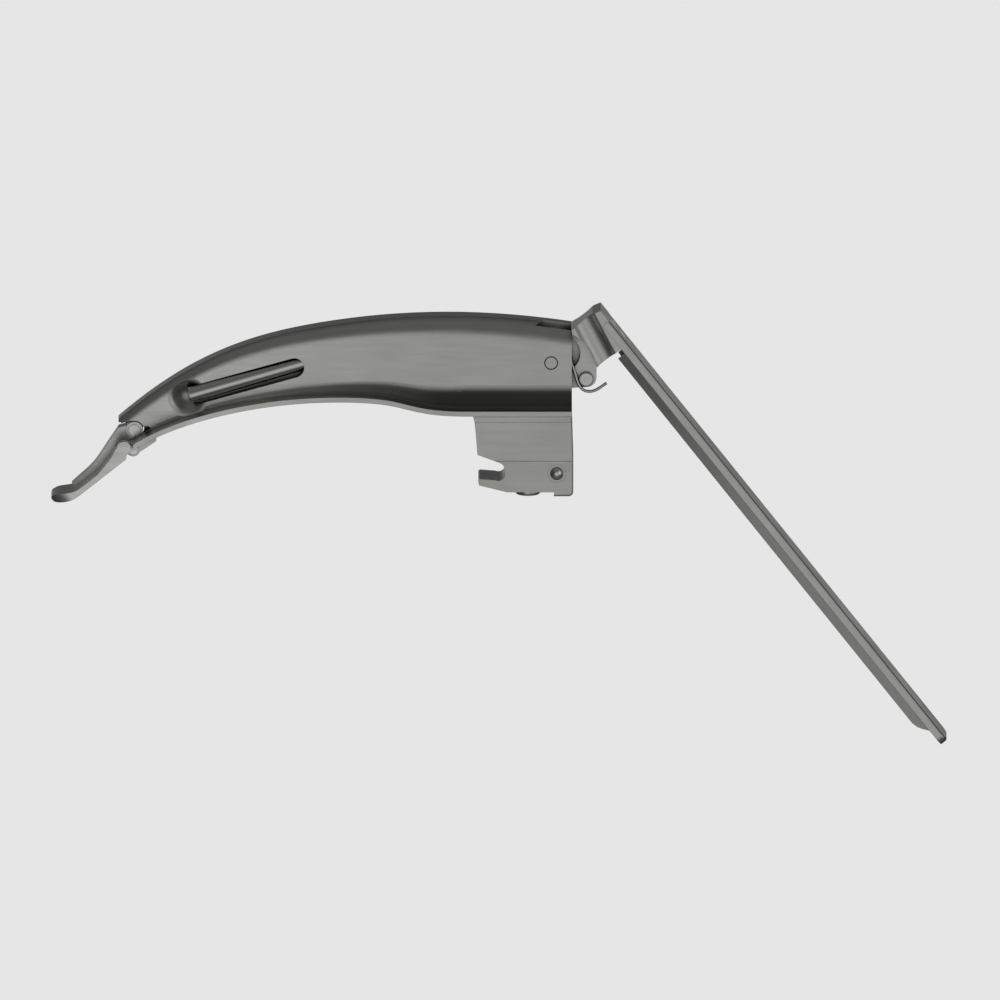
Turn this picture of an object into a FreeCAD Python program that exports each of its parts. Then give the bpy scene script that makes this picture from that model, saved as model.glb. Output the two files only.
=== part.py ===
import FreeCAD, Part
import math
import os

# Flex-tip laryngoscope blade with a hook-on heel, a squeeze lever and a push-rod driven tip.
# Millimetres. Origin: axis of the hook seat that snaps on the handle's hinge bar, in the middle
# of the heel's thickness. +X points to the lever, -X to the tip, +Z to the convex side of the
# blade, and the light tube is on the -Y side.

Vec = FreeCAD.Vector
Y_DIR = Vec(0, 1, 0)
ORIGIN = Vec(0, 0, 0)

# ---- driving dimensions -------------------------------------------------------------------

# blade body
REAR_X = 18.4
WEB = 4.4                  # web thickness, from y = 0
FLANGE = 2.0               # thickness of the top flange
FLANGE_REAR_Y = 9.8
FLANGE_TIP_Y = 6.7
SPATULA = 1.25             # thickness of the spatula
SPATULA_Y = -6.9
BODY_TIP_X = -94.95
BODY_FLOOR_Z = 14.8        # flat underside above the heel
FLAT_START_X = -8.0
TOP_OUTLINE = ((BODY_TIP_X, 12.5), (-87.5, 18.4), (-77.5, 24.9), (-62.5, 31.5), (-42.5, 36.0),
               (-13.0, 38.3), (REAR_X, 35.85))
BOTTOM_OUTLINE = ((-91.3, 6.3), (-79.5, 11.9), (-64.5, 16.0), (-44.5, 18.3), (-27.0, 17.5),
                  (FLAT_START_X, BODY_FLOOR_Z))
BOTTOM_TANGENTS = ((1.0, 0.62), (1.0, 0.0))   # directions at its two ends
TOP_ROUND_REAR = 5.0
TOP_ROUND_TIP = 2.2
COVE_REAR = 5.4
COVE_MIDDLE = 2.3
COVE_TIP = 0.9
COVE_MIDDLE_PART = 0.55    # where along the spatula the middle section stands
COVE_SINK = 0.3            # how far the cove runs into both walls
TRIM_X = (-25.0, -60.0)    # where the flange starts to narrow, and half-way
TRIM_MIDDLE_Y = FLANGE_REAR_Y - 1.0
LEVER_POCKET_R = 10.0      # room for the lever's tongue: round part, and a box to the rear
LEVER_POCKET_X = 11.0
LEVER_POCKET_TOP_Z = 34.1

# heel
HEEL_HALF = 6.35
HEEL_REAR_X = 18.75
SEAT_R = 1.65
SEAT_ARC = (-115.0, 6.0)   # degrees around the seat where its wall starts and ends
SEAT_SIDE = (SEAT_R - 0.03, 1.4)
SEAT_MOUTH_ARC = ((0.1, 2.97), (1.25, 2.2), SEAT_SIDE)
JAW_LOW_ARC = ((-4.6, -1.2), (-4.9, -1.4), (-5.0, -1.9))
HEEL_FRONT = ((-6.35, BODY_FLOOR_Z), (-5.95, 13.2), (-5.75, 11.5), (-5.2, 4.9), SEAT_MOUTH_ARC[0])
HEEL_BOTTOM_Z = -4.6
HEEL_UNDER = ((-4.8, -2.85), (2.3, HEEL_BOTTOM_Z))
FOOT_Z = -5.7
FOOT_X = 13.9
FOOT_ROUND = 1.2
HEEL_LEAN_Z = 3.0          # the rear edge leans in above this height
HEEL_RIM = 0.6
SEAM_DEPTH = 0.12
SEAM_Z = (3.3, BODY_FLOOR_Z - 1.6)
TENON = (-4.0, 16.5, 1.6, WEB, 8.4)   # x from, x to, y from, y to, lower end z
HEEL_SCREW_X = (-1.2, 13.4)
HEEL_SCREW_Z = 11.4
HEEL_SCREW_END_Y = TENON[2] + 0.4
SCREW_HEAD_R = 1.9         # countersunk heads of all side screws
SCREW_HEAD_DEPTH = 0.9
SCREW_REACH = 3.0          # thread length below the cover
DRIVER_SLOT = 0.45         # width and depth

# lever and its pivot
PIVOT = (13.2, 27.1)
PIVOT_R = 1.7
PIVOT_CHAMFER = 0.25
RUN_GAP = 0.05             # radial running clearance
LEVER_SLOPE = 51.6         # degrees below horizontal at rest
LEVER_TRAVEL = 35.0
LEVER_LENGTH = 136.8
LEVER_Y = (-1.2, 10.2)
LEVER_OUTER = 18.1         # distance of the outer face from the pivot axis
LEVER_PLATE = 2.0
LEVER_INNER = 13.85
FLANGE_LEAN = ((9.6, 1.0), (62.0, 0.5), (132.4, 0.42))   # along the lever, lean of the flange's foot
YOKE_TOP = -3.5
YOKE_END = 7.9
YOKE_INNER = 8.4           # distance of the shoulder's inner side from the pivot axis
SHOULDER_ROOM = (14.3, 25.2)   # centre of the round step between the ear and the shoulder
SHOULDER_ROOM_R = 10.2
GROOVE = (24.0, 33.15)     # a point of the line the shoulder's side grooves follow
GROOVE_SLOPE = 62.7        # degrees below horizontal
GROOVE_R = 3.6
GROOVE_OUT = 2.0           # distance of the groove's axis outside the shoulder's side
GROOVE_ROUND = 0.9
TONGUE_Y = (3.4, 6.4)
NEAR_WALL = 2.2
COVER_Y = (8.4, FLANGE_REAR_Y)
SPRING_POST = (21.95, 22.47)
SPRING_POST_R = 1.75
SPRING_POST_STEM_R = 1.0
SPRING_POST_ROUND = 0.25
EAR = (22.05, 22.82)
EAR_R = 2.5
TONGUE_R = 8.0
TONGUE_DRIVE_R = 2.1
TONGUE_EDGE = ((24.6, 26.3), (24.55, 22.8), (22.05, 20.32), (17.5, 20.1), (13.0, 17.6))
LEVER_RIVET_A = (2.4, 6.0)     # along the lever
LEVER_RIVET_R = 1.1
LEVER_RIVET_LENGTH = 5.0
ARM_START = 0.5
ARM_END_ROUND = 2.2
ARM_RIM = 0.7
FLANGE_PLATE = 1.0         # thickness of the folds at their foot

# tip hinge and rod
TIP_HINGE = (-91.3, 5.95)
TIP_TRAVEL = 70.0
TIP_ARM = 4.0
ROD_CENTRE = (-30.3, -97.7)
ROD_R = 0.9
ROD_REAR_Y = 7.4
ROD_TIP_Y = 5.6
LINK_R = 1.0
SLOT_GAP = 0.12            # play across each slotted rod eye
TIP_SLOPE = 38.4           # degrees below horizontal at rest
TIP_FAR_Y = WEB
TIP_NEAR_Y = -7.3
TIP_RIB_Y = 0.3            # near face of the tip's rib
TIP_LOW = -0.47            # plate faces, from the hinge axis
TIP_HIGH = 0.9
TIP_BOSS_R = 2.0
LINK_BOSS_R = 2.2
ROLL_Y = -4.9              # inner end of the rolled corner
ROLL = (-1.31, 2.05)
ROLL_R = 1.75
EYE_NECK = 6.0             # rod eye's slot to the joint with the rod
EYE_NECK_HALF = 1.5
EYE_HALF = 0.8             # half thickness
REAR_EYE_R = 2.3
FRONT_EYE_R = 1.85
EYE_SPARE = 0.1            # spare length at each end of its slot
SPIGOT_R = 0.55
SPIGOT_LENGTH = 3.0
ROD_BEND_X = (-28.0, -58.0)
ROD_BEND_STEPS = 10
GUIDES = ((-16.0, ROD_REAR_Y, 9.2), (-76.0, ROD_TIP_Y, 7.0))   # x, rod's y, far face
GUIDE_HALF = (2.6, 2.3)
GUIDE_ROUND = 0.5
GUIDE_BORE_SPREAD = 6.0
LINK_HEADS = ((1.45, TIP_RIB_Y - 0.45, TIP_RIB_Y - 0.15), (1.5, 6.45, 6.85))   # radius, from y, to y
HINGE_HEAD_R = (1.2, 1.3)
HINGE_HEAD = 0.25
WASHER_R = 1.6

# light guide
TUBE_SLOPE = 15.6
TUBE_MID = (-63.4, 22.8)
TUBE_ENDS = (-14.3, 16.5)   # from the middle point, along the slope
TUBE_MID_Y = 1.15
BUNDLE_COURSE = ((5.6, 1.0, 10.0), (0.5, 2.2, 17.5), (-8.0, 2.2, 23.6), (-25.0, 2.2, 27.6),
                 (-38.0, 2.2, 28.2))
TUBE_SPLAY = 0.063         # Y gained per millimetre towards the heel
TUBE_R = 2.0
SLOT_R = 2.45
SLOT_ENDS = (-12.4, 12.75)  # centres of its round ends, along the slope
SLOT_DROP = 0.4            # the slot's centre line lies this far below the tube's
SLOT_FLOOR_Y = 2.4
BELL = (-77.7, 18.6)       # middle of the soft hollow in front of the tube's end
BELL_R = 5.4
BELL_DEPTH = 2.3
BELL_PROFILE = ((0.0, 1.0), (0.38, 0.76), (0.68, 0.24))   # parts of the radius and of the depth
BELL_PROUD = 0.03          # its rim ends this far outside the near face
BUNDLE_R = 1.35
BUNDLE_PULL = 12.0         # how firmly it keeps its direction at both ends of its bend
TUBE_BORE_R = BUNDLE_R + 0.02
WINDOW_DEPTH = 1.0
WINDOW_GAP = 0.15          # between the window and the slightly slanted end of the bundle
INLET_X = 7.4
INLET_R = 3.2
INLET_SEAT = 2.6           # how deep it sits in the heel
INLET_ROUND = 0.8
INLET_WINDOW_R = 1.6
INLET_WINDOW_SUNK = 0.05
INLET_DROP = 1.65          # how far the ferrule stands out of the heel's underside
INLET_WINDOW_TOP_Z = HEEL_BOTTOM_Z + 0.2
BUNDLE_STRAIGHT_Z = 3.0    # the fibre bundle starts to bend here

# detent
DETENT = (14.6, 0.2)
BALL_R = 1.75
BALL_Y = 5.46
RETAINER_R = 2.3
RETAINER_LIP_R = 1.62
RETAINER_DEPTH = 1.2
RETAINER_LIP = 0.2
DETENT_WIRE_R = 0.2
DETENT_COIL_R = 1.25
DETENT_TURNS = 8

# small fittings
KNUCKLE_R = 1.75
KNUCKLE_Y = (-4.6, -0.2)
NOTCH_SWEPT_R = 6.4        # room for the tip's rib as it turns
NOTCH_FAR_Y = 9.0
NOTCH_CORNER_Z = 11.9
NOTCH_LINK_R = 2.45
NOTCH_PIN_R = 2.2
NOTCH_PLAY = 0.2           # beyond the web's faces
POCKET = (-86.9, 8.7, 11.0, 0.8)   # x to, z from, z to, corner radius
POCKET_FLOOR_Y = 3.0
PIN_HEAD_R = 1.4
PIN_HEAD_ROOM = 0.35
HINGE_PIN_R = 0.8
BRACKET_END = ((-85.5, 8.1), (-85.5, 9.6))     # lower and upper corner of its heel end
BRACKET_RIVET_R = 0.6
BRACKET_RIVET_Z = (6.3, 8.5)
BRACKET_RIVETS = ((-88.4, -3.6), (-88.4, -1.4))     # x, y
ANCHOR_R = 0.5
ANCHOR_ANGLE = 100.0       # around the pivot, from +X towards +Z
ANCHOR_ROOM_ENDS = 8.0     # degrees of play at each end of the pin's pocket
ANCHOR_NEAR_Y = 0.9
ANCHOR_BEYOND_COIL = 1.55
ANCHOR_CLEARANCE = 0.7
COVER_POST_R = 2.2
COVER_LUG = 1.9            # half width of the lug for the rear screw
COVER_LUG_TOP_Z = 35.0
COVER_LEFT_X = -6.2
COVER_UNDER = ((6.0, 0.95), (-6.2, 1.5))       # x, height above the flange's rear underside
COVER_GAP = 0.1
COVER_CORNER = 2.0
COVER_SCREW_R = 1.0
COVER_SCREWS = ((-3.0, 31.0), (-3.0, 18.3), (16.3, 31.9))
HEEL_SCREW_R = 1.0
SPRING_WIRE_R = 0.375
SPRING_COIL_R = 5.0
SPRING_PITCH = 0.82
SPRING_TURNS = 2.25
SPRING_NEAR_Y = 2.85
SPRING_LEG = ((18.9, 24.9), (19.7, 22.2), (20.35, 20.7), (21.3, 19.73), (22.7, 19.34), (24.2, 19.64),
              (25.7, 20.5), (27.1, 21.5))
SPRING_STEPS = 44
SPRING_HOOK = (0.4, 0.22)  # the anchored end: how far out of the coil, and radians past its last turn
RECESS_R = 6.0
CRESCENT = (15.9, 28.9)
CRESCENT_R = 4.6
RECESS_FLOOR_Y = 5.1
HUB_R = 3.2
BUSH_R = 2.4
SPACER_R = 2.6
DRIVE_R = 1.1
SIDE_GAP = 0.1             # play between parts stacked along the pivots
HUB_NEAR_Y = NEAR_WALL + 0.15
DRIVE_NEAR_Y = RECESS_FLOOR_Y + 0.1

# ---- worked-out places --------------------------------------------------------------------

PIVOT_FROM_CENTRE = math.hypot(PIVOT[0] - ROD_CENTRE[0], PIVOT[1] - ROD_CENTRE[1])
HINGE_FROM_CENTRE = math.hypot(TIP_HINGE[0] - ROD_CENTRE[0], TIP_HINGE[1] - ROD_CENTRE[1])
ROD_ARC_R = HINGE_FROM_CENTRE + TIP_ARM
HALF_TIP = math.radians(TIP_TRAVEL / 2)
HALF_LEVER = math.radians(LEVER_TRAVEL / 2)
ROD_TURN = 2 * math.asin(TIP_ARM * math.sin(HALF_TIP) / ROD_ARC_R)
LEVER_RATIO = ROD_TURN / (2 * math.sin(HALF_LEVER))
DRIVE_ARM = LEVER_RATIO * PIVOT_FROM_CENTRE / (1 + LEVER_RATIO)
DRIVE_ARC_R = PIVOT_FROM_CENTRE - DRIVE_ARM


def polar(centre, radius, angle):
    """Point at an angle (radians, from +X towards +Z) around a centre in the XZ plane."""
    return (centre[0] + radius * math.cos(angle), centre[1] + radius * math.sin(angle))


TIP_RADIAL = math.atan2(TIP_HINGE[1] - ROD_CENTRE[1], TIP_HINGE[0] - ROD_CENTRE[0])
LEVER_RADIAL = math.atan2(PIVOT[1] - ROD_CENTRE[1], PIVOT[0] - ROD_CENTRE[0])
LINK = polar(TIP_HINGE, TIP_ARM, TIP_RADIAL - HALF_TIP)
DRIVE = polar(PIVOT, DRIVE_ARM, LEVER_RADIAL + math.pi + HALF_LEVER)
LINK_LOCAL_Z = TIP_ARM * math.sin(TIP_RADIAL - HALF_TIP - math.radians(TIP_SLOPE))
ANCHOR = polar(PIVOT, SPRING_COIL_R + ANCHOR_BEYOND_COIL, math.radians(ANCHOR_ANGLE))

# ---- shape helpers ------------------------------------------------------------------------


def point(xz, y=0.0):
    return Vec(xz[0], y, xz[1])


def lines(points):
    """Edges that join XZ points in order."""
    return [Part.makeLine(point(a), point(b)) for a, b in zip(points, points[1:])]


def arc(start, middle, end):
    return Part.Arc(point(start), point(middle), point(end)).toShape()


def spline(points, tangents=None):
    curve = Part.BSplineCurve()
    places = [point(p) for p in points]
    if tangents:
        curve.interpolate(Points=places, InitialTangent=point(tangents[0]), FinalTangent=point(tangents[1]))
    else:
        curve.interpolate(places)
    return curve.toShape()


def prism(edges, y_from, y_to):
    """Solid between two Y planes from a closed XZ outline."""
    face = Part.Face(Part.Wire(Part.__sortEdges__(edges)))
    face.translate(Vec(0, y_from, 0))
    return face.extrude(Vec(0, y_to - y_from, 0))


def polygon(points, y_from, y_to):
    return prism(lines(list(points) + [points[0]]), y_from, y_to)


def disc(centre, radius, y_from, y_to):
    return Part.makeCylinder(radius, y_to - y_from, point(centre, y_from), Y_DIR)


def ring(centre, outer, inner, y_from, y_to):
    return disc(centre, outer, y_from, y_to).cut(disc(centre, inner, y_from, y_to))


def box(x_from, x_to, y_from, y_to, z_from, z_to):
    return Part.makeBox(x_to - x_from, y_to - y_from, z_to - z_from, Vec(x_from, y_from, z_from))


def rounded_box(x_from, x_to, y_from, y_to, z_from, z_to, radius):
    """Box whose edges along Y are rounded."""
    solid = box(x_from, x_to, y_from, y_to, z_from, z_to)
    upright = [e for e in solid.Edges if abs(e.Vertexes[0].Y - e.Vertexes[1].Y) > 0.01]
    return solid.makeFillet(radius, upright)


def fuse(first, *others):
    return first.fuse(list(others)).removeSplitter()


def stadium(centre, radius, reach, angle, y_from, y_to):
    """Slot solid: discs at both ends of a line of half-length reach at an angle, and the box between."""
    step = (reach * math.cos(angle), reach * math.sin(angle))
    side = (-radius * math.sin(angle), radius * math.cos(angle))
    ends = [(centre[0] + s * step[0], centre[1] + s * step[1]) for s in (-1, 1)]
    corners = [(ends[0][0] + side[0], ends[0][1] + side[1]), (ends[1][0] + side[0], ends[1][1] + side[1]),
               (ends[1][0] - side[0], ends[1][1] - side[1]), (ends[0][0] - side[0], ends[0][1] - side[1])]
    solid = polygon(corners, y_from, y_to)
    if reach > 0:
        solid = fuse(solid, disc(ends[0], radius, y_from, y_to), disc(ends[1], radius, y_from, y_to))
    return solid


def pipe(path, radius):
    """Round solid swept along a wire that never runs along Y."""
    start = path.OrderedEdges[0]
    profile = Part.Wire(Part.makeCircle(radius, start.valueAt(start.FirstParameter),
                                        start.tangentAt(start.FirstParameter)))
    sweep = Part.BRepOffsetAPI.MakePipeShell(path)
    sweep.setBiNormalMode(Y_DIR)
    sweep.add(profile)
    sweep.build()
    sweep.makeSolid()
    return sweep.shape()


def spline_path(places):
    curve = Part.BSplineCurve()
    curve.interpolate(places)
    return Part.Wire(curve.toShape())


def in_frame(origin, along, across):
    """Function that turns (a, n) in a slanted XZ frame into an XZ point."""
    def place(a, n):
        return (origin[0] + a * along[0] + n * across[0], origin[1] + a * along[1] + n * across[1])
    return place


LEVER_RAD = math.radians(LEVER_SLOPE)
lever_at = in_frame(PIVOT, (math.cos(LEVER_RAD), -math.sin(LEVER_RAD)),
                    (math.sin(LEVER_RAD), math.cos(LEVER_RAD)))
TUBE_RAD = math.radians(TUBE_SLOPE)
tube_at = in_frame(TUBE_MID, (math.cos(TUBE_RAD), math.sin(TUBE_RAD)),
                   (-math.sin(TUBE_RAD), math.cos(TUBE_RAD)))


# ---- light guide --------------------------------------------------------------------------


def bundle_path():
    """Centreline of the fibre bundle, from the inlet window to the end of the tube."""
    tube_end, tube_start = (tube_axis(a) for a in TUBE_ENDS)
    places = [Vec(INLET_X, 0, INLET_WINDOW_TOP_Z), Vec(INLET_X, 0, BUNDLE_STRAIGHT_Z)]
    places += [Vec(*place) for place in BUNDLE_COURSE]
    places += [tube_start]
    along = (tube_end - tube_start).normalize()
    curve = Part.BSplineCurve()
    curve.interpolate(Points=places, InitialTangent=Vec(0, 0, BUNDLE_PULL), FinalTangent=along * BUNDLE_PULL)
    straight = Part.makeLine(tube_start, tube_axis(TUBE_ENDS[0] + WINDOW_DEPTH))
    return Part.Wire([curve.toShape(), straight])


def tube_axis(a):
    """Centre of the light tube at distance a from its middle point: it comes out of the web to the tip."""
    return point(tube_at(a, 0), TUBE_MID_Y + TUBE_SPLAY * a)


def tube_rod(radius, a_from, a_to):
    start = tube_axis(a_from)
    direction = tube_axis(a_to) - start
    return Part.makeCylinder(radius, direction.Length, start, direction)


def light_tube():
    return tube_rod(TUBE_R, *TUBE_ENDS)


def light_guide_parts():
    bundle = pipe(bundle_path(), BUNDLE_R)
    window = tube_rod(TUBE_BORE_R, TUBE_ENDS[0], TUBE_ENDS[0] + WINDOW_DEPTH - WINDOW_GAP)
    tube = light_tube().cut(tube_rod(TUBE_BORE_R, TUBE_ENDS[0] - 1, TUBE_ENDS[1] + 1))
    return {"light_tube": tube, "fibre_bundle": bundle, "distal_window": window}


def inlet_parts():
    bottom = HEEL_BOTTOM_Z - INLET_DROP
    height = INLET_DROP + INLET_SEAT
    ferrule = Part.makeCylinder(INLET_R, height, Vec(INLET_X, 0, bottom))
    rim = edges_near(ferrule, lambda e: e.BoundBox.ZMax < bottom + 0.01)
    ferrule = ferrule.makeFillet(INLET_ROUND, rim)
    bore = Part.makeCylinder(INLET_WINDOW_R, height, Vec(INLET_X, 0, bottom))
    window_bottom = bottom + INLET_WINDOW_SUNK
    window_height = INLET_WINDOW_TOP_Z - window_bottom
    window = Part.makeCylinder(INLET_WINDOW_R, window_height, Vec(INLET_X, 0, window_bottom))
    return {"inlet_ferrule": ferrule.cut(bore), "inlet_window": window}


# ---- blade body ---------------------------------------------------------------------------


def outline_solid(y_from, y_to):
    """Full side outline of the web."""
    top = spline(TOP_OUTLINE)
    bottom = spline(BOTTOM_OUTLINE, BOTTOM_TANGENTS)
    tip_low = (BODY_TIP_X, BOTTOM_OUTLINE[0][1])
    edges = [top, bottom]
    edges += lines([TOP_OUTLINE[-1], (REAR_X, BODY_FLOOR_Z), (FLAT_START_X, BODY_FLOOR_Z)])
    edges += lines([BOTTOM_OUTLINE[0], tip_low, TOP_OUTLINE[0]])
    return prism(edges, y_from, y_to)


def spatula_top_edge():
    """Upper edge of the spatula, a plate's thickness above the underside."""
    return spline(spatula_top_points(), BOTTOM_TANGENTS)


def spatula_top_points():
    raised = lowered(BOTTOM_OUTLINE, -SPATULA)
    return raised[:-1] + [(FLAT_START_X, BODY_FLOOR_Z + SPATULA)]


def spatula_strip(y_from, y_to):
    """Curved plate along the underside, with a flat stretch above the heel."""
    lower = spline(BOTTOM_OUTLINE, BOTTOM_TANGENTS)
    raised = spatula_top_points()
    edges = [lower, spatula_top_edge()]
    edges += lines([(FLAT_START_X, BODY_FLOOR_Z), (REAR_X, BODY_FLOOR_Z),
                    (REAR_X, BODY_FLOOR_Z + SPATULA), (FLAT_START_X, BODY_FLOOR_Z + SPATULA)])
    edges += lines([BOTTOM_OUTLINE[0], raised[0]])
    return prism(edges, y_from, y_to)


def edges_near(shape, test):
    return [e for e in shape.Edges if test(e)]


def web_and_flange():
    solid = outline_solid(0, FLANGE_REAR_Y)
    top_edge = edges_near(solid, lambda e: e.BoundBox.YMax < 0.01 and e.BoundBox.ZMax > 38
                          and e.BoundBox.XLength > 50)
    solid = solid.makeFillet(TOP_ROUND_TIP, TOP_ROUND_REAR, top_edge)
    return solid


def lowered(points, depth):
    """Outline moved down by a wall thickness measured square to the outline."""
    moved = []
    for i, (x, z) in enumerate(points):
        before = points[max(i - 1, 0)]
        after = points[min(i + 1, len(points) - 1)]
        slope = (after[1] - before[1]) / (after[0] - before[0])
        moved.append((x, z - depth * math.hypot(1, slope)))
    return moved


def far_hollow():
    """Open space under the flange, behind the web, where the rod runs."""
    under = lowered(TOP_OUTLINE, FLANGE)
    low = HEEL_BOTTOM_Z
    edges = [spline(under)]
    edges += lines([under[-1], (REAR_X + 1, under[-1][1]), (REAR_X + 1, low), (BODY_TIP_X - 1, low),
                    (BODY_TIP_X - 1, under[0][1]), under[0]])
    return prism(edges, WEB, FLANGE_REAR_Y + 1)


def flange_trim():
    """Takes the flange's far edge in towards the tip."""
    corners = [Vec(TRIM_X[0], FLANGE_REAR_Y, -10), Vec(TRIM_X[1], TRIM_MIDDLE_Y, -10),
               Vec(BODY_TIP_X - 1, FLANGE_TIP_Y, -10),
               Vec(BODY_TIP_X - 1, 20, -10), Vec(REAR_X + 1, 20, -10), Vec(REAR_X + 1, FLANGE_REAR_Y, -10)]
    curve = Part.BSplineCurve()
    curve.interpolate(Points=corners[:3], InitialTangent=Vec(-1, 0, 0), FinalTangent=Vec(-1, -0.09, 0))
    ring_points = [corners[2], corners[3], corners[4], corners[5], corners[0]]
    edges = [curve.toShape()] + [Part.makeLine(a, b) for a, b in zip(ring_points, ring_points[1:])]
    return Part.Face(Part.Wire(Part.__sortEdges__(edges))).extrude(Vec(0, 0, 60))


def tip_notch():
    """Bite in the end of the web that leaves room for the tip's rib and its rivet."""
    web_from, web_to = -NOTCH_PLAY, WEB + NOTCH_PLAY
    ahead = BODY_TIP_X - 15
    swept = disc(TIP_HINGE, NOTCH_SWEPT_R, web_from, NOTCH_FAR_Y)
    swept = swept.common(box(ahead, LINK[0], -1, NOTCH_FAR_Y + 1, -5, 20))
    corner = box(ahead, BODY_TIP_X + 0.7, web_from, NOTCH_FAR_Y, 0, NOTCH_CORNER_Z)
    beside = disc(LINK, NOTCH_LINK_R, web_from, web_to)
    pocket = rounded_box(LINK[0], POCKET[0], web_from, POCKET_FLOOR_Y, POCKET[1], POCKET[2], POCKET[3])
    below = box(ahead, BOTTOM_OUTLINE[0][0], SPATULA_Y - 1, web_to, -10, TIP_HINGE[1] + NOTCH_PIN_R)
    around_pin = disc(TIP_HINGE, NOTCH_PIN_R, web_from, web_to)
    knuckle_room = disc(TIP_HINGE, KNUCKLE_R, KNUCKLE_Y[0], KNUCKLE_Y[1])
    head_room = disc(TIP_HINGE, PIN_HEAD_R, KNUCKLE_Y[0] - PIN_HEAD_ROOM, KNUCKLE_Y[0])
    return [swept, corner, beside, pocket, below, around_pin, knuckle_room, head_room]


def light_recess():
    """Slot in the near face that holds the light tube, with a soft hollow in front of the tube's end."""
    first, last = SLOT_ENDS
    middle = tube_at((first + last) / 2, -SLOT_DROP)
    slot = stadium(middle, SLOT_R, (last - first) / 2, TUBE_RAD, -1.0, SLOT_FLOOR_Y)
    return [slot, bell(BELL, BELL_R, BELL_DEPTH)]


def bell(centre, radius, depth):
    """Bell-shaped solid of revolution that meets the near face almost level."""
    outside = -BELL_PROUD
    profile = [(r * radius, y * depth) for r, y in BELL_PROFILE] + [(radius, outside)]
    curve = Part.BSplineCurve()
    curve.interpolate(Points=[Vec(centre[0] + r, y, centre[1]) for r, y in profile],
                      InitialTangent=Vec(1, 0, 0), FinalTangent=Vec(1, -0.02, 0))
    rim = Vec(centre[0] + radius, outside, centre[1])
    corner = Vec(centre[0] + radius, -1.0, centre[1])
    axis_low = Vec(centre[0], -1.0, centre[1])
    sides = [Part.makeLine(rim, corner), Part.makeLine(corner, axis_low),
             Part.makeLine(axis_low, Vec(centre[0], depth, centre[1]))]
    face = Part.Face(Part.Wire([curve.toShape()] + sides))
    return face.revolve(point(centre), Y_DIR, 360)


def lever_pocket():
    """Space between the near wall and the side cover for the lever's tongue."""
    far_y = TONGUE_Y[1] + SIDE_GAP
    round_part = disc(PIVOT, LEVER_POCKET_R, NEAR_WALL, far_y)
    rear_part = box(LEVER_POCKET_X, REAR_X + 1, NEAR_WALL, far_y, BODY_FLOOR_Z - 0.5, LEVER_POCKET_TOP_Z)
    return [round_part, rear_part]


def cove_section(place, tangent, radius):
    """Concave corner section square to the spatula's upper face, sunk a little into both walls."""
    up = Vec(-tangent.z, 0, tangent.x).normalize()
    sink = COVE_SINK

    def at(y, rise):
        return place + Vec(0, y, 0) + up * rise

    middle = radius * (1 - math.sqrt(0.5))
    curve = Part.Arc(at(0, radius), at(-middle, middle), at(-radius, 0)).toShape()
    corners = [at(-radius, 0), at(-radius, -sink), at(sink, -sink), at(sink, radius), at(0, radius)]
    straight = [Part.makeLine(p, q) for p, q in zip(corners, corners[1:])]
    return Part.Wire([curve] + straight)


def coves():
    """Concave transition from the web to the spatula, smaller towards the tip."""
    rail = spatula_top_edge()
    first, last = rail.FirstParameter, rail.LastParameter
    sweep = Part.BRepOffsetAPI.MakePipeShell(Part.Wire(rail))
    sweep.setBiNormalMode(Y_DIR)
    middle = first + (last - first) * COVE_MIDDLE_PART
    for at, radius in ((first, COVE_TIP), (middle, COVE_MIDDLE), (last, COVE_REAR)):
        sweep.add(cove_section(rail.valueAt(at), rail.tangentAt(at), radius))
    sweep.build()
    sweep.makeSolid()
    level_start = Vec(FLAT_START_X, 0, BODY_FLOOR_Z + SPATULA)
    level = Part.Face(cove_section(level_start, Vec(1, 0, 0), COVE_REAR))
    level = level.extrude(Vec(REAR_X - FLAT_START_X, 0, 0))
    return [sweep.shape(), level]


def blade_body():
    solid = fuse(web_and_flange(), spatula_strip(SPATULA_Y, WEB), *coves())
    solid = solid.cut(far_hollow())
    floor = box(FLAT_START_X, REAR_X, WEB, COVER_Y[0], BODY_FLOOR_Z, BODY_FLOOR_Z + SPATULA)
    posts = [disc((x, z), COVER_POST_R, WEB, COVER_Y[0]) for x, z in COVER_SCREWS[:2]]
    lug_x, lug_z = COVER_SCREWS[2]
    lug = box(lug_x - COVER_LUG, REAR_X, TONGUE_Y[1] + SIDE_GAP, COVER_Y[0], lug_z - COVER_LUG,
              COVER_LUG_TOP_Z)
    tenon = box(*TENON, BODY_FLOOR_Z)
    solid = fuse(solid, floor, lug, tenon, *posts)
    solid = solid.cut([flange_trim()] + tip_notch() + light_recess() + lever_pocket())
    holes = [disc(PIVOT, PIVOT_R, -1, NEAR_WALL + 1), disc(ANCHOR, ANCHOR_R, ANCHOR_NEAR_Y, NEAR_WALL + 1)]
    holes += [disc(place, COVER_SCREW_R, COVER_Y[0] - SCREW_REACH, COVER_Y[0]) for place in COVER_SCREWS]
    holes += [disc((x, HEEL_SCREW_Z), HEEL_SCREW_R, HEEL_SCREW_END_Y, HEEL_HALF) for x in HEEL_SCREW_X]
    return solid.cut(holes + [pipe(bundle_path(), BUNDLE_R), light_tube()] + bracket_rivet_list())


def bracket_rivet_list():
    """Rivets that go up through the hinge bracket into the spatula, peened flush."""
    low, high = BRACKET_RIVET_Z
    return [Part.makeCylinder(BRACKET_RIVET_R, high - low, Vec(x, y, low)) for x, y in BRACKET_RIVETS]


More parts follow.
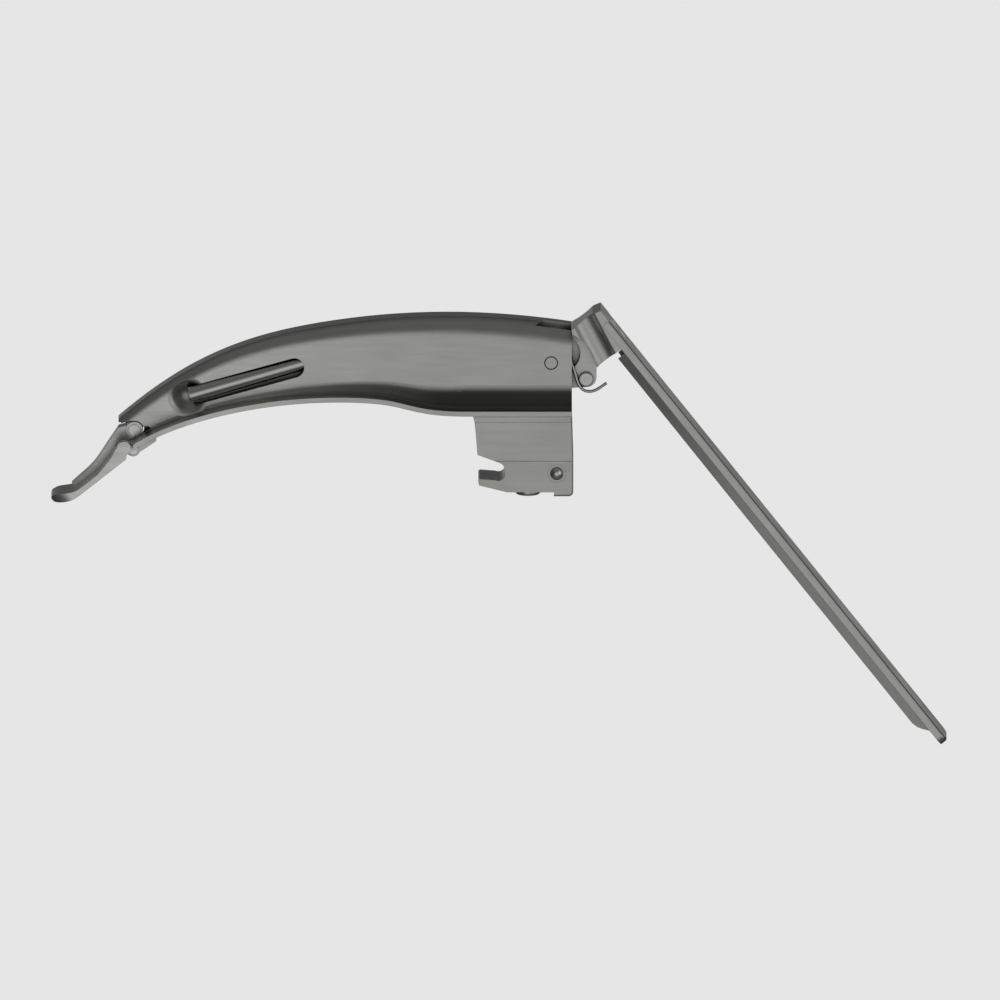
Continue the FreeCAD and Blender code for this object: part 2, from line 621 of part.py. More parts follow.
def hinge_bracket(body):
    """Small plate under the end of the spatula with the fixed knuckle of the tip hinge."""
    under_knuckle = (TIP_HINGE[0], TIP_HINGE[1] - KNUCKLE_R)
    plate = polygon([under_knuckle, BRACKET_END[0], BRACKET_END[1], TIP_HINGE], KNUCKLE_Y[0], KNUCKLE_Y[1])
    knuckle = disc(TIP_HINGE, KNUCKLE_R, KNUCKLE_Y[0], KNUCKLE_Y[1])
    solid = fuse(plate, knuckle).cut(body)
    solid = max(solid.Solids, key=lambda s: s.Volume)
    return solid.cut([disc(TIP_HINGE, HINGE_PIN_R, -10, 10)] + bracket_rivet_list())


# ---- heel ---------------------------------------------------------------------------------


def heel_outline():
    """Side outline of the heel: a plate at the top, the open hook to the tip side, a foot at the rear."""
    low, high = (math.radians(angle) for angle in SEAT_ARC)
    seat_start, seat_end = polar((0, 0), SEAT_R, low), polar((0, 0), SEAT_R, high)
    edges = [arc(seat_start, polar((0, 0), SEAT_R, (low + high) / 2), seat_end)]
    edges += [arc(*SEAT_MOUTH_ARC), arc(*JAW_LOW_ARC)]
    edges += lines(HEEL_FRONT)
    edges += lines([SEAT_SIDE, seat_end])
    edges += lines([seat_start, JAW_LOW_ARC[0]])
    foot_end = (HEEL_REAR_X - FOOT_ROUND, FOOT_Z)
    foot_corner = (HEEL_REAR_X - 0.3 * FOOT_ROUND, FOOT_Z + 0.3 * FOOT_ROUND)
    foot_top = (HEEL_REAR_X, FOOT_Z + FOOT_ROUND)
    edges += lines([JAW_LOW_ARC[2], *HEEL_UNDER, (FOOT_X, HEEL_BOTTOM_Z), (FOOT_X, FOOT_Z), foot_end])
    edges += [arc(foot_end, foot_corner, foot_top)]
    edges += lines([foot_top, (HEEL_REAR_X, HEEL_LEAN_Z), (REAR_X, BODY_FLOOR_Z), HEEL_FRONT[0]])
    return edges


def retainer_ring(side):
    """Ring pressed in the heel's side, with a lip that keeps the ball in."""
    outer = HEEL_HALF
    body = ring(DETENT, RETAINER_R, BALL_R + RUN_GAP, outer - RETAINER_DEPTH, outer - RETAINER_LIP)
    lip = ring(DETENT, RETAINER_R, RETAINER_LIP_R, outer - RETAINER_LIP, outer)
    solid = fuse(body, lip)
    if side < 0:
        solid = solid.mirror(ORIGIN, Y_DIR)
    return solid


def heel_block():
    solid = prism(heel_outline(), -HEEL_HALF, HEEL_HALF)
    seam = box(HEEL_FRONT[0][0] - 1, HEEL_REAR_X + 1, -HEEL_HALF - 1, -HEEL_HALF + SEAM_DEPTH, *SEAM_Z)
    edges = edges_near(solid, lambda e: abs(e.BoundBox.YMin) > HEEL_HALF - 0.01 and e.BoundBox.YLength < 0.01
                       and e.BoundBox.XMin > HEEL_REAR_X - FOOT_ROUND - 0.1)
    solid = solid.makeFillet(HEEL_RIM, edges)
    cuts = [seam, box(*TENON, BODY_FLOOR_Z + 1)]
    cuts += [disc(DETENT, BALL_R + RUN_GAP, -HEEL_HALF, HEEL_HALF)]
    for y in (-HEEL_HALF, HEEL_HALF - RETAINER_DEPTH):
        cuts.append(disc(DETENT, RETAINER_R, y, y + RETAINER_DEPTH))
    cuts += [pipe(bundle_path(), BUNDLE_R)]
    cuts += [Part.makeCylinder(INLET_R, INLET_DROP + INLET_SEAT, Vec(INLET_X, 0, HEEL_BOTTOM_Z - INLET_DROP))]
    cuts += heel_screw_solids()
    return solid.cut(cuts)


def heel_screw_solids():
    """Countersunk screws from the far side, through the heel wall into the body's tenon."""
    made = []
    for x in HEEL_SCREW_X:
        shank = disc((x, HEEL_SCREW_Z), HEEL_SCREW_R, HEEL_SCREW_END_Y, HEEL_HALF)
        made.append(fuse(shank, screw_head((x, HEEL_SCREW_Z), HEEL_SCREW_R, HEEL_HALF)))
    return made


def screw_head(place, shank_r, face_y):
    """Countersunk head, flush with a face on the far side."""
    bottom = point(place, face_y - SCREW_HEAD_DEPTH)
    return Part.makeCone(shank_r, SCREW_HEAD_R, SCREW_HEAD_DEPTH, bottom, Y_DIR)


def slotted(screw, place, head_y):
    """Screw with a driver slot in its far face."""
    x, z = place
    reach = SCREW_HEAD_R + 1
    half = DRIVER_SLOT / 2
    return screw.cut(box(x - reach, x + reach, head_y - DRIVER_SLOT, head_y + 1, z - half, z + half))


# ---- side cover ---------------------------------------------------------------------------


def cover_screw_solids():
    made = []
    for place in COVER_SCREWS:
        above_lever = place[0] > LEVER_POCKET_X
        shank_end = TONGUE_Y[1] + SIDE_GAP if above_lever else COVER_Y[0] - SCREW_REACH
        shank = disc(place, COVER_SCREW_R, shank_end, COVER_Y[1])
        made.append(fuse(shank, screw_head(place, COVER_SCREW_R, COVER_Y[1])))
    return made


def side_cover():
    under = lowered(TOP_OUTLINE, FLANGE)[-1][1]
    outline = [(COVER_LEFT_X, BODY_FLOOR_Z), (REAR_X, BODY_FLOOR_Z), (REAR_X, under - COVER_GAP)]
    outline += [(x, under + rise) for x, rise in COVER_UNDER]
    solid = polygon(outline, COVER_Y[0], COVER_Y[1])
    left = edges_near(solid, lambda e: e.BoundBox.YLength > 1 and e.BoundBox.XMax < COVER_LEFT_X + 0.1)
    solid = solid.makeFillet(COVER_CORNER, left)
    return solid.cut(cover_screw_solids() + [disc(PIVOT, PIVOT_R, 0, 20)])


# ---- lever --------------------------------------------------------------------------------

LEVER_PLACE = FreeCAD.Placement(point(PIVOT), FreeCAD.Rotation(Y_DIR, LEVER_SLOPE))


def placed(solid, placement):
    moved = solid.copy()
    moved.Placement = placement.multiply(moved.Placement)
    return moved


def lever_rivet_solids():
    made = []
    for a in LEVER_RIVET_A:
        inner = Vec(a, sum(LEVER_Y) / 2, LEVER_OUTER - LEVER_RIVET_LENGTH)
        shank = Part.makeCylinder(LEVER_RIVET_R, LEVER_RIVET_LENGTH, inner)
        made.append(placed(shank, LEVER_PLACE))
    return made


def lever_yoke():
    """Machined block at the top of the lever: wide shoulder, thin tongue with the pivot, ear with a post."""
    near, far = TONGUE_Y
    root = YOKE_INNER + 3.6
    web = polygon([PIVOT, lever_at(-2.0, 0.0), lever_at(-2.0, root), lever_at(YOKE_END, root), *TONGUE_EDGE],
                  near, far)
    tongue = fuse(web, disc(PIVOT, TONGUE_R, near, far), disc(EAR, EAR_R, near, far),
                  disc(DRIVE, TONGUE_DRIVE_R, near, far))
    solid = fuse(yoke_shoulder(), tongue)
    recess = [disc(PIVOT, RECESS_R, near - 1, RECESS_FLOOR_Y)]
    recess += [disc(CRESCENT, CRESCENT_R, near - 1, RECESS_FLOOR_Y)]
    solid = solid.cut(recess + [anchor_room(near - 1, RECESS_FLOOR_Y)])
    solid = fuse(solid, disc(PIVOT, HUB_R, HUB_NEAR_Y, RECESS_FLOOR_Y))
    cuts = [disc(PIVOT, BUSH_R, 0, 10), disc(DRIVE, DRIVE_R, DRIVE_NEAR_Y, far + 1),
            disc(SPRING_POST, SPRING_POST_STEM_R, near - 1, far + 1)]
    return solid.cut(cuts + lever_rivet_solids())


def anchor_room(y_from, y_to):
    """Arc-shaped pocket in the tongue that the spring's anchor pin stays in as the lever turns."""
    middle = math.hypot(ANCHOR[0] - PIVOT[0], ANCHOR[1] - PIVOT[1])
    first = math.radians(ANCHOR_ANGLE - ANCHOR_ROOM_ENDS)
    last = math.radians(ANCHOR_ANGLE + LEVER_TRAVEL + ANCHOR_ROOM_ENDS)
    reach = 2 * middle
    sector = polygon([PIVOT, polar(PIVOT, reach, first), polar(PIVOT, reach, (first + last) / 2),
                      polar(PIVOT, reach, last)], y_from, y_to)
    return disc(PIVOT, middle + ANCHOR_CLEARANCE, y_from, y_to).common(sector)


def yoke_shoulder():
    """Wide block with a slanting groove in each side, stepped back round the ear, up to the body's rear."""
    near, far = TONGUE_Y
    under = LEVER_OUTER - LEVER_PLATE
    block = polygon([lever_at(YOKE_TOP, YOKE_INNER), lever_at(YOKE_END, YOKE_INNER),
                     lever_at(YOKE_END, under),
                     lever_at(ARM_START, under), lever_at(ARM_START, LEVER_OUTER),
                     lever_at(YOKE_TOP + 0.6, LEVER_OUTER),
                     lever_at(YOKE_TOP, LEVER_OUTER - 2.1)], LEVER_Y[0], LEVER_Y[1])
    slope = math.radians(GROOVE_SLOPE)
    axis = Vec(math.cos(slope), 0, -math.sin(slope))
    start = point(GROOVE) - axis * 20
    for side_y in (LEVER_Y[0] - GROOVE_OUT, LEVER_Y[1] + GROOVE_OUT):
        block = block.cut(Part.makeCylinder(GROOVE_R, 40, start + Vec(0, side_y, 0), axis))
    right = point(GROOVE).cross(axis).y

    def groove_edge(e):
        mid = e.valueAt((e.FirstParameter + e.LastParameter) / 2)
        on_side = min(abs(mid.y - LEVER_Y[0]), abs(mid.y - LEVER_Y[1])) < 0.01
        along = abs(abs((e.Vertexes[0].Point - e.Vertexes[-1].Point).normalize() * axis) - 1) < 0.001
        return on_side and along and e.Length > 4 and mid.cross(axis).y > right

    block = block.makeFillet(GROOVE_ROUND, edges_near(block, groove_edge))
    room = [disc(SHOULDER_ROOM, SHOULDER_ROOM_R, LEVER_Y[0] - 1, near),
            disc(SHOULDER_ROOM, SHOULDER_ROOM_R, far, LEVER_Y[1] + 1),
            box(0, REAR_X + RUN_GAP, LEVER_Y[0] - 1, LEVER_Y[1] + 1, 20, 60)]
    return block.cut(room)


def lever_arm():
    """Long plate with two side flanges folded down under it, built flat and then turned."""
    under = LEVER_OUTER - LEVER_PLATE
    start, end = ARM_START, LEVER_LENGTH
    top = Part.makeBox(end - start, LEVER_Y[1] - LEVER_Y[0], LEVER_PLATE, Vec(start, LEVER_Y[0], under))
    corners = edges_near(top, lambda e: e.BoundBox.ZLength > 1 and e.BoundBox.XMin > end - 1)
    top = top.makeFillet(ARM_END_ROUND, corners)
    rims = edges_near(top, lambda e: e.BoundBox.ZLength < 0.01 and e.BoundBox.ZMin > LEVER_OUTER - 0.01
                      and e.BoundBox.XMax > start + 1)
    top = top.makeFillet(ARM_RIM, rims)
    solid = fuse(top, arm_flange(-1), arm_flange(1))
    return placed(solid, LEVER_PLACE).cut(lever_rivet_solids())


def arm_flange(side):
    """Fold along one edge of the lever's plate: it leans in, more so at the yoke, and its end is slanted."""
    under = LEVER_OUTER - LEVER_PLATE
    middle = sum(LEVER_Y) / 2
    outer = (LEVER_Y[1] - LEVER_Y[0]) / 2 - 0.12
    sections = []
    for a, lean in FLANGE_LEAN:
        section = [(outer, under + 0.3), (outer, under), (outer - lean, LEVER_INNER),
                   (outer - lean - 1.0, LEVER_INNER), (outer - 1.5, under + 0.3)]
        corners = [Vec(a, middle + side * y, z) for y, z in section]
        sections.append(Part.makePolygon(corners + [corners[0]]))
    flange = Part.makeLoft(sections, True, True)
    last = FLANGE_LEAN[-1][0]
    low = LEVER_INNER - 0.01
    line = [(last - 4.6, low), (last - 3.0, LEVER_INNER + 0.4), (last - 2.0, LEVER_INNER + 1.0),
            (last, under + 0.3), (last + 1, low), (last - 4.6, low)]
    slant = Part.Face(Part.makePolygon([Vec(x, -9, z) for x, z in line]))
    return flange.cut(slant.extrude(Vec(0, 30, 0)))


def return_spring():
    """Torsion spring: coil around the pivot, one end on the anchor pin, the other under the lever's post."""
    turn_end = SPRING_TURNS * 2 * math.pi
    centre_y = SPRING_NEAR_Y
    places = []
    hook_out, hook_past = SPRING_HOOK
    hook = polar(PIVOT, SPRING_COIL_R + hook_out, turn_end + hook_past)
    places.append(point(hook, centre_y + SPRING_PITCH * SPRING_TURNS))
    for i in range(SPRING_STEPS + 1):
        angle = turn_end * (1 - i / SPRING_STEPS)
        y = centre_y + SPRING_PITCH * angle / (2 * math.pi)
        places.append(point(polar(PIVOT, SPRING_COIL_R, angle), y))
    places += [point(p, centre_y) for p in SPRING_LEG]
    return pipe(spline_path(places), SPRING_WIRE_R)


# ---- rod ----------------------------------------------------------------------------------


def slot_angle(place):
    return math.atan2(place[1] - ROD_CENTRE[1], place[0] - ROD_CENTRE[0])


def eye_slots():
    """Slots of the rod's two eyes: they lie along the rod arc's radius."""
    rise_tip = TIP_ARM * (1 - math.cos(HALF_TIP))
    rise_lever = DRIVE_ARM * (1 - math.cos(HALF_LEVER))
    tip_angle = slot_angle(LINK)
    lever_angle = slot_angle(DRIVE)
    tip_middle = polar(ROD_CENTRE, ROD_ARC_R - rise_tip / 2, tip_angle)
    lever_middle = polar(ROD_CENTRE, DRIVE_ARC_R + rise_lever / 2, lever_angle)
    return ((tip_middle, tip_angle, LINK_R + SLOT_GAP, rise_tip / 2 + EYE_SPARE),
            (lever_middle, lever_angle, DRIVE_R + SLOT_GAP, rise_lever / 2 + EYE_SPARE))


def rod_eye(slot, towards, rod_y, eye_r):
    """Flat eye with a slot, and a neck that takes the rod's turned end."""
    middle, angle, slot_r, reach = slot
    y_from, y_to = rod_y - EYE_HALF, rod_y + EYE_HALF
    head = stadium(middle, eye_r, reach, angle, y_from, y_to)
    joint = polar(ROD_CENTRE, ROD_ARC_R, angle + towards * EYE_NECK / ROD_ARC_R)
    side = polar((0, 0), EYE_NECK_HALF, angle)
    corners = [(middle[0] + side[0], middle[1] + side[1]), (middle[0] - side[0], middle[1] - side[1]),
               (joint[0] - side[0], joint[1] - side[1]), (joint[0] + side[0], joint[1] + side[1])]
    neck = polygon(corners, y_from, y_to)
    hole = stadium(middle, slot_r, reach, angle, y_from - 1, y_to + 1)
    return fuse(head, neck).cut(hole)


def rod_arc_points(angle_from, angle_to, y_from, y_to, count):
    """Points along the rod's arc, with an even S-shaped change of y."""
    places = []
    for i in range(count + 1):
        part = i / count
        smooth = part * part * (3 - 2 * part)
        angle = angle_from + (angle_to - angle_from) * part
        places.append(point(polar(ROD_CENTRE, ROD_ARC_R, angle), y_from + (y_to - y_from) * smooth))
    return places


def torus_piece(angle_from, angle_to, y, radius):
    """Round bar bent to the rod's arc between two angles."""
    start = polar(ROD_CENTRE, ROD_ARC_R, angle_from)
    profile = Part.Wire(Part.makeCircle(radius, point(start, y),
                                        Vec(-math.sin(angle_from), 0, math.cos(angle_from))))
    face = Part.Face(profile)
    return face.revolve(point(ROD_CENTRE, y), Vec(0, -1, 0), math.degrees(angle_to - angle_from))


def angle_at(x):
    return math.acos((x - ROD_CENTRE[0]) / ROD_ARC_R)


def push_rod():
    rear = slot_angle(DRIVE) + EYE_NECK / ROD_ARC_R
    front = slot_angle(LINK) - EYE_NECK / ROD_ARC_R
    bend_from, bend_to = (angle_at(x) for x in ROD_BEND_X)
    rear_bar = torus_piece(rear, bend_from, ROD_REAR_Y, ROD_R)
    front_bar = torus_piece(bend_to, front, ROD_TIP_Y, ROD_R)
    curve = Part.BSplineCurve()
    places = rod_arc_points(bend_from, bend_to, ROD_REAR_Y, ROD_TIP_Y, ROD_BEND_STEPS)
    first = Vec(-math.sin(bend_from), 0, math.cos(bend_from))
    last = Vec(-math.sin(bend_to), 0, math.cos(bend_to))
    bend_length = ROD_BEND_X[0] - ROD_BEND_X[1]
    curve.interpolate(Points=places, InitialTangent=first * bend_length, FinalTangent=last * bend_length)
    bend = pipe(Part.Wire(curve.toShape()), ROD_R)
    spigots = []
    for angle, y, direction in ((rear, ROD_REAR_Y, -1), (front, ROD_TIP_Y, 1)):
        heading = Vec(-math.sin(angle), 0, math.cos(angle)) * direction
        end = point(polar(ROD_CENTRE, ROD_ARC_R, angle), y)
        spigots.append(Part.makeCylinder(SPIGOT_R, SPIGOT_LENGTH, end, heading))
    return fuse(rear_bar, front_bar, bend, *spigots)


def rod_guides():
    """Two blocks brazed behind the web, each with a bore bent to the rod's arc."""
    made = []
    for x, y, far_y in GUIDES:
        angle = angle_at(x)
        middle = polar(ROD_CENTRE, ROD_ARC_R, angle)
        place = in_frame(middle, (math.sin(angle), -math.cos(angle)), (math.cos(angle), math.sin(angle)))
        a, n = GUIDE_HALF
        block = polygon([place(-a, -n), place(a, -n), place(a, n), place(-a, n)], WEB, far_y)
        rims = edges_near(block, lambda e: e.BoundBox.YLength < 0.01 and e.BoundBox.YMin > far_y - 0.01)
        block = block.makeFillet(GUIDE_ROUND, rims)
        spread = GUIDE_BORE_SPREAD / ROD_ARC_R
        made.append(block.cut(torus_piece(angle - spread, angle + spread, y, ROD_R + RUN_GAP)))
    return Part.makeCompound(made)


# ---- tip ----------------------------------------------------------------------------------

TIP_PLACE = FreeCAD.Placement(point(TIP_HINGE), FreeCAD.Rotation(Y_DIR, -TIP_SLOPE))


def tip_rib():
    """Upright rib at the far side of the tip, drawn in the tip's own axes."""
    head = [(2.6, LINK_LOCAL_Z), (2.1, 5.0), (0.05, 5.9)]
    slope = [(0.05, 5.9), (-1.74, 5.3), (-6.15, 3.85), (-10.65, 2.5), (-14.5, 2.1), (-18.0, 1.9)]
    base = [(-18.0, 1.9), (-18.0, TIP_LOW), (-1.0, TIP_LOW), (0.0, -2.0), (1.8, 0.4), head[0]]
    return prism(lines(head) + [spline(slope)] + lines(base), TIP_RIB_Y, TIP_FAR_Y)


def tip_plate():
    """Plate of the tip, lifted and thickened to a round rim at its end."""
    top = [(-16.0, TIP_HIGH), (-18.6, 1.45), (-20.8, 2.75), (-22.4, 3.4)]
    end = arc((-22.4, 3.4), (-23.85, 2.75), (-23.5, 1.7))
    bottom = [(-23.5, 1.7), (-22.0, 0.75), (-20.0, -0.1), (-17.0, TIP_LOW)]
    edges = [spline(top, ((-1, 0), (-1, 0.2))), end, spline(bottom, ((0.75, -0.6), (1, 0)))]
    edges += lines([(-17.0, TIP_LOW), (-3.0, TIP_LOW), (-3.0, TIP_HIGH), (-16.0, TIP_HIGH)])
    plate = prism(edges, TIP_NEAR_Y, TIP_FAR_Y)
    plan = Part.makeBox(24.0, TIP_FAR_Y - TIP_NEAR_Y, 20, Vec(-24.0, TIP_NEAR_Y, -10))
    ends = edges_near(plan, lambda e: e.BoundBox.ZLength > 1 and e.BoundBox.XMax < -23)
    return plate.common(plan.makeFillet(4.6, ends))


def tip_blade():
    """Flexing end of the blade, drawn in its own axes (-x to the end, z up from the plate) and then turned.

    A plate that is thicker at the hinge, an upright rib along the far side and a rolled near corner."""
    near, far = TIP_NEAR_Y, TIP_FAR_Y
    wedge = polygon([(-3.0, TIP_LOW), (-3.0, 3.2), (-5.5, 2.1), (-10.5, TIP_HIGH), (-10.5, TIP_LOW)],
                    near, far)
    roll = disc(ROLL, ROLL_R, near, ROLL_Y)
    roll_web = polygon([(ROLL[0] - 0.5, ROLL[1] - ROLL_R), (ROLL[0], ROLL[1] + ROLL_R), (-5.0, 2.35),
                        (-5.0, TIP_LOW), (-2.6, TIP_LOW)], near, ROLL_Y)
    solid = placed(fuse(tip_plate(), wedge, roll, roll_web, tip_rib()), TIP_PLACE)
    link_boss = disc(LINK, LINK_BOSS_R, LINK_HEADS[0][2], far)
    solid = fuse(solid, disc(TIP_HINGE, TIP_BOSS_R, TIP_RIB_Y, far), link_boss)
    cuts = [disc(TIP_HINGE, KNUCKLE_R + 0.2, ROLL_Y, TIP_RIB_Y - 0.2),
            disc(TIP_HINGE, HINGE_PIN_R + RUN_GAP, -1, 10), disc(LINK, LINK_R, -1, 10)]
    return solid.cut(cuts)


# ---- small turned parts -------------------------------------------------------------------


def headed_pin(place, shank_r, y_from, y_to, heads):
    """Pin along Y with a disc head of given radius, from and to y, at each stated end."""
    solid = disc(place, shank_r, y_from, y_to)
    for radius, head_from, head_to in heads:
        solid = fuse(solid, disc(place, radius, head_from, head_to))
    return solid


def hinge_pin():
    near, far = KNUCKLE_Y[0], TIP_FAR_Y + RUN_GAP
    near_r, far_r = HINGE_HEAD_R
    heads = [(near_r, near - HINGE_HEAD, near), (far_r, far, far + HINGE_HEAD)]
    return headed_pin(TIP_HINGE, HINGE_PIN_R, near, far, heads)


def pivot_pin():
    solid = disc(PIVOT, PIVOT_R, 0, COVER_Y[1])
    rims = edges_near(solid, lambda e: e.BoundBox.YLength < 0.01)
    return solid.makeChamfer(PIVOT_CHAMFER, rims)


def domed_post():
    head = disc(SPRING_POST, SPRING_POST_R, NEAR_WALL + SIDE_GAP, TONGUE_Y[0])
    rim = edges_near(head, lambda e: e.BoundBox.YMax < NEAR_WALL + 2 * SIDE_GAP)
    head = head.makeFillet(SPRING_POST_ROUND, rim)
    return fuse(head, disc(SPRING_POST, SPRING_POST_STEM_R, TONGUE_Y[0], TONGUE_Y[1]))


def detent_spring():
    reach = BALL_Y - BALL_R - 1.4 * DETENT_WIRE_R
    steps = DETENT_TURNS * 12
    places = []
    for i in range(steps + 1):
        coil = polar(DETENT, DETENT_COIL_R, 2 * math.pi * DETENT_TURNS * i / steps)
        places.append(point(coil, -reach + 2 * reach * i / steps))
    return pipe(spline_path(places), DETENT_WIRE_R)


# ---- assembly -----------------------------------------------------------------------------


def build_all():
    body = blade_body()
    bracket = hinge_bracket(body)
    rod = push_rod()
    tip_slot, lever_slot = eye_slots()
    rear_eye = rod_eye(lever_slot, 1, ROD_REAR_Y, REAR_EYE_R).cut(rod)
    front_eye = rod_eye(tip_slot, -1, ROD_TIP_Y, FRONT_EYE_R).cut(rod)
    parts = {
        "blade_body": body,
        "side_cover": side_cover(),
        "cover_screws": Part.makeCompound([slotted(s, p, COVER_Y[1]) for s, p in
                                           zip(cover_screw_solids(), COVER_SCREWS)]),
        "heel_block": heel_block(),
        "heel_screws": Part.makeCompound([slotted(s, (x, HEEL_SCREW_Z), HEEL_HALF) for s, x in
                                          zip(heel_screw_solids(), HEEL_SCREW_X)]),
        "detent_retainers": Part.makeCompound([retainer_ring(1), retainer_ring(-1)]),
        "detent_spring": detent_spring(),
        "detent_ball_near": Part.makeSphere(BALL_R, point(DETENT, -BALL_Y)),
        "detent_ball_far": Part.makeSphere(BALL_R, point(DETENT, BALL_Y)),
        "pivot_pin": pivot_pin(),
        "pivot_spacer": ring(PIVOT, SPACER_R, PIVOT_R + RUN_GAP, TONGUE_Y[1] + SIDE_GAP,
                             COVER_Y[0] - SIDE_GAP),
        "spring_anchor": disc(ANCHOR, ANCHOR_R, ANCHOR_NEAR_Y, RECESS_FLOOR_Y - SIDE_GAP),
        "return_spring": return_spring(),
        "rod_guides": rod_guides(),
        "hinge_bracket": bracket,
        "bracket_rivets": Part.makeCompound(bracket_rivet_list()),
        "hinge_pin": hinge_pin(),
        "hinge_washer": ring(TIP_HINGE, WASHER_R, HINGE_PIN_R + RUN_GAP, KNUCKLE_Y[1] + RUN_GAP,
                             TIP_RIB_Y - RUN_GAP),
        "lever_yoke": lever_yoke(),
        "lever_arm": lever_arm(),
        "lever_rivets": Part.makeCompound(lever_rivet_solids()),
        "pivot_bush": ring(PIVOT, BUSH_R, PIVOT_R + RUN_GAP, HUB_NEAR_Y, TONGUE_Y[1]),
        "spring_post": domed_post(),
        "drive_pin": disc(DRIVE, DRIVE_R, DRIVE_NEAR_Y, ROD_REAR_Y + EYE_HALF),
        "push_rod": rod,
        "rod_rear_eye": rear_eye,
        "rod_front_eye": front_eye,
        "tip_blade": tip_blade(),
        "link_pin": headed_pin(LINK, LINK_R, LINK_HEADS[0][2], LINK_HEADS[1][1], LINK_HEADS),
    }
    parts.update(light_guide_parts())
    parts.update(inlet_parts())
    return parts


def main():
    os.makedirs("parts", exist_ok=True)
    for name, shape in build_all().items():
        if not shape.isValid():
            print("not valid:", name)
        shape.exportStep("parts/" + name + ".step")


main()
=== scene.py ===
import math

import bpy
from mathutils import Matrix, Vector

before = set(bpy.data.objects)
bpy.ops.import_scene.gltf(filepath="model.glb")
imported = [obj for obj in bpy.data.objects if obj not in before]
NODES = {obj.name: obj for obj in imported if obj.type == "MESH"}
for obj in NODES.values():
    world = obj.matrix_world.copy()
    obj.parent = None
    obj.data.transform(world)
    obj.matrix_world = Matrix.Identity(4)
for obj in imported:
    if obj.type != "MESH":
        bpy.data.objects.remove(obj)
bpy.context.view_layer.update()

MM = 0.001

# ---- camera and studio --------------------------------------------------------------------

CAMERA_ELEVATION = math.radians(11.0)
FRAME_WIDTH = 0.250
VIEW_CENTRE = Vector((0.425, 0.0, -7.77)) * MM
CAMERA_DISTANCE = 0.9
CAMERA_CLIP = (0.01, 20.0)
FLOOR_Z = -0.40
FLOOR_REACH = 8.0
FLOOR_TONE = 0.791


def empty_material(name):
    """New material with nothing but its output node: material, tree and output."""
    material = bpy.data.materials.new(name)
    material.use_nodes = True
    tree = material.node_tree
    tree.nodes.clear()
    return material, tree, tree.nodes.new("ShaderNodeOutputMaterial")


def panel(name, corners):
    """Flat four-cornered sheet that belongs to the studio."""
    mesh = bpy.data.meshes.new(name)
    mesh.from_pydata(corners, [], [(0, 1, 2, 3)])
    sheet = bpy.data.objects.new(name, mesh)
    bpy.context.collection.objects.link(sheet)
    return sheet


def make_camera():
    data = bpy.data.cameras.new("camera")
    data.type = "ORTHO"
    data.ortho_scale = FRAME_WIDTH
    data.clip_start, data.clip_end = CAMERA_CLIP
    camera = bpy.data.objects.new("camera", data)
    bpy.context.collection.objects.link(camera)
    back = Vector((0, -math.cos(CAMERA_ELEVATION), math.sin(CAMERA_ELEVATION)))
    camera.location = VIEW_CENTRE + back * CAMERA_DISTANCE
    camera.rotation_euler = (math.pi / 2 - CAMERA_ELEVATION, 0, 0)
    bpy.context.scene.camera = camera


def make_floor():
    """Plain pale floor well below the object. It glows evenly, and the metal doesn't reflect it."""
    reach = FLOOR_REACH
    floor = panel("floor", [(-reach, -reach, FLOOR_Z), (reach, -reach, FLOOR_Z),
                            (reach, reach, FLOOR_Z), (-reach, reach, FLOOR_Z)])
    material, tree, out = empty_material("floor_paint")
    glow = tree.nodes.new("ShaderNodeEmission")
    glow.inputs["Color"].default_value = (FLOOR_TONE, FLOOR_TONE, FLOOR_TONE, 1)
    tree.links.new(glow.outputs[0], out.inputs["Surface"])
    floor.data.materials.append(material)
    floor.visible_glossy = False
    floor.visible_diffuse = False
    floor.visible_shadow = False
    floor.visible_transmission = False


# Soft lights of the studio: direction, tightness and strength. They are set for the camera's own view.
LOBES = (
    ((0.0, -1.0, -0.14), 9.0, 0.50),
    ((0.80, -0.62, 0.10), 9.0, 0.62),
    ((0.0, -0.15, 1.0), 1.6, 0.11),
    ((0.15, 0.96, -0.22), 22.0, 0.46),
    ((-0.40, 0.90, -0.12), 22.0, 0.42),
    ((0.0, -0.6, -1.0), 3.0, 0.10),
)
AMBIENT = 0.04

# Soft card in front of the tip's side: centre, width and height in millimetres, strength.
CARD_CENTRE = Vector((-90.0, -250.0, -38.0))
CARD_SIZE = (110.0, 130.0)
CARD_STRENGTH = 0.42


def make_world():
    world = bpy.data.worlds.new("studio")
    world.use_nodes = True
    tree = world.node_tree
    tree.nodes.clear()
    out = tree.nodes.new("ShaderNodeOutputWorld")
    background = tree.nodes.new("ShaderNodeBackground")
    coords = tree.nodes.new("ShaderNodeTexCoord")
    total = None
    for direction, tightness, strength in LOBES:
        unit = Vector(direction).normalized()
        dot = tree.nodes.new("ShaderNodeVectorMath")
        dot.operation = "DOT_PRODUCT"
        dot.inputs[1].default_value = unit
        tree.links.new(coords.outputs["Generated"], dot.inputs[0])
        half = math_node(tree, "MAXIMUM", dot.outputs["Value"], 0.0)
        lobe = math_node(tree, "POWER", half, tightness)
        scaled = math_node(tree, "MULTIPLY", lobe, strength)
        total = scaled if total is None else math_node(tree, "ADD", total, scaled)
    total = math_node(tree, "ADD", total, AMBIENT)
    tree.links.new(total, background.inputs["Color"])
    tree.links.new(background.outputs[0], out.inputs["Surface"])
    bpy.context.scene.world = world


